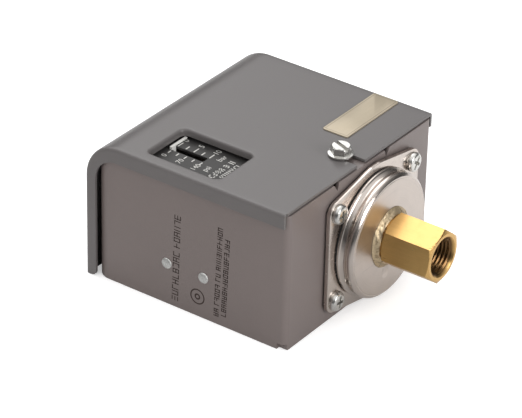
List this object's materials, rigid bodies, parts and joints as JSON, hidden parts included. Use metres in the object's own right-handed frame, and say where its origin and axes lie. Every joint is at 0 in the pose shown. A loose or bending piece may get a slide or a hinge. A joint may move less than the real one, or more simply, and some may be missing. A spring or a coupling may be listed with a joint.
{
  "type": "pressure switch",
  "caption": "Line-voltage pressure switch in a grey sheet-metal case, with slide-off cover, scale window, range and differential springs, snap switch, round pressure cap and hexagonal port.",
  "frame": {"origin": "middle of the flat back plate's outer face, which lies against the panel", "axes": "+Z comes out of the front cover; +X runs along the pressure port, which points down on a hung switch; -Y is the side wall with the two rivets and the window's side"},
  "size_m": [0.1139, 0.087, 0.0573],
  "materials": {
    "grey_paint": "semi-gloss grey enamel on steel sheet",
    "scale_black": "matt near-black printed scale",
    "nameplate_tan": "satin tan foil plate",
    "bright_nickel": "drawn and lightly brushed plated steel",
    "zinc": "bright zinc plate",
    "spring_steel": "oiled spring steel",
    "brass": "machined brass",
    "braze": "dull brazing alloy",
    "fibre": "vulcanised fibre sheet",
    "rubber": "matt black rubber",
    "pointer_white": "white enamel",
    "dark_phenolic": "moulded phenolic",
    "white_nylon": "moulded nylon",
    "green_zinc": "green passivated zinc"
  },
  "bodies": {
    "chassis": {"chassis": "grey_paint", "side_rivet_1": "zinc", "side_rivet_2": "zinc", "spring_frame": "zinc", "scale_plate": "scale_black", "scale_screw_1": "zinc", "scale_screw_2": "zinc", "flange_gasket": "rubber", "flange_plate": "bright_nickel", "diaphragm": "rubber", "pressure_cap": "bright_nickel", "braze_ring": "braze", "pipe_fitting": "brass", "flange_screw_1": "zinc", "flange_screw_2": "zinc", "flange_screw_3": "zinc", "flange_screw_4": "zinc", "lever_bracket": "zinc", "pivot_pin": "spring_steel", "pivot_clip": "spring_steel", "diff_bracket": "zinc", "switch_bracket": "zinc", "switch_base": "dark_phenolic", "switch_lid": "dark_phenolic", "switch_screw_1": "zinc", "switch_screw_2": "zinc", "fixed_contact_1": "brass", "fixed_contact_2": "brass", "terminal_clamp_1": "zinc", "terminal_clamp_2": "zinc"},
    "cover": {"cover": "grey_paint", "nameplate": "nameplate_tan", "cover_insulator": "fibre"},
    "cover_screw": {"cover_screw": "zinc"},
    "range_screw": {"range_screw": "zinc", "range_clip": "spring_steel"},
    "range_nut": {"range_nut": "zinc", "pointer": "pointer_white", "range_spring": "spring_steel"},
    "diff_wheel": {"diff_wheel": "white_nylon"},
    "diff_seat": {"diff_seat": "zinc", "diff_spring": "spring_steel"},
    "lever": {"lever": "zinc", "trip_screw": "brass", "trip_locknut": "zinc", "spring_seat": "zinc"},
    "push_rod": {"push_rod": "brass", "follower_disc": "zinc"},
    "plunger": {"switch_plunger": "white_nylon", "contact_bridge": "brass"},
    "terminal_screw_1": {"terminal_screw_1": "brass"},
    "terminal_screw_2": {"terminal_screw_2": "brass"},
    "ground_screw": {"ground_screw": "green_zinc"}
  },
  "joints": [
    {"name": "cover_slide", "type": "slide", "parent": "chassis", "child": "cover", "axis": [-1, 0, 0], "range_m": [0, 0.088]},
    {"name": "cover_screw_turn", "type": "hinge", "parent": "chassis", "child": "cover_screw", "pos_m": [0.033, 0, 0.05], "axis": [0, 0, 1], "range_deg": [0, 720]},
    {"name": "range_screw_turn", "type": "hinge", "parent": "chassis", "child": "range_screw", "pos_m": [-0.032, -0.0253, 0.026], "axis": [1, 0, 0], "range_deg": [0, 3240]},
    {"name": "range_nut_travel", "type": "slide", "parent": "chassis", "child": "range_nut", "axis": [1, 0, 0], "range_m": [0, 0.0114], "deforming": ["range_spring"]},
    {"name": "diff_wheel_turn", "type": "hinge", "parent": "chassis", "child": "diff_wheel", "pos_m": [-0.01, -0.0093, 0.026], "axis": [1, 0, 0], "range_deg": [0, 270]},
    {"name": "diff_seat_travel", "type": "slide", "parent": "chassis", "child": "diff_seat", "axis": [1, 0, 0], "range_m": [0, 0.00249], "deforming": ["diff_spring"]},
    {"name": "lever_swing", "type": "hinge", "parent": "chassis", "child": "lever", "pos_m": [0.027, 0.036, 0.0255], "axis": [0, 0, -1], "range_deg": [0, 2.2], "stiffness_Nm_per_rad": 4, "springref_deg": -1.15},
    {"name": "push_rod_travel", "type": "slide", "parent": "chassis", "child": "push_rod", "axis": [-1, 0, 0], "range_m": [0, 0.0013]},
    {"name": "plunger_travel", "type": "slide", "parent": "chassis", "child": "plunger", "axis": [-1, 0, 0], "range_m": [0, 0.0009]},
    {"name": "terminal_screw_1_turn", "type": "hinge", "parent": "chassis", "child": "terminal_screw_1", "pos_m": [0.007, 0.007, 0.04], "axis": [0, 0, 1], "range_deg": [0, 720]},
    {"name": "terminal_screw_2_turn", "type": "hinge", "parent": "chassis", "child": "terminal_screw_2", "pos_m": [0.007, 0.021, 0.04], "axis": [0, 0, 1], "range_deg": [0, 720]},
    {"name": "ground_screw_turn", "type": "hinge", "parent": "chassis", "child": "ground_screw", "pos_m": [-0.0244, 0.03, 0.002], "axis": [0, 0, 1], "range_deg": [0, 720]}
  ],
  "couplings": [
    {"joint": "range_screw_turn", "follows": "range_nut_travel", "rad_per_m": 4947.3},
    {"joint": "diff_wheel_turn", "follows": "diff_seat_travel", "rad_per_m": 1886.8},
    {"joint": "push_rod_travel", "follows": "lever_swing", "m_per_rad": 0.0308},
    {"joint": "plunger_travel", "follows": "lever_swing", "m_per_rad": 0.022}
  ]
}
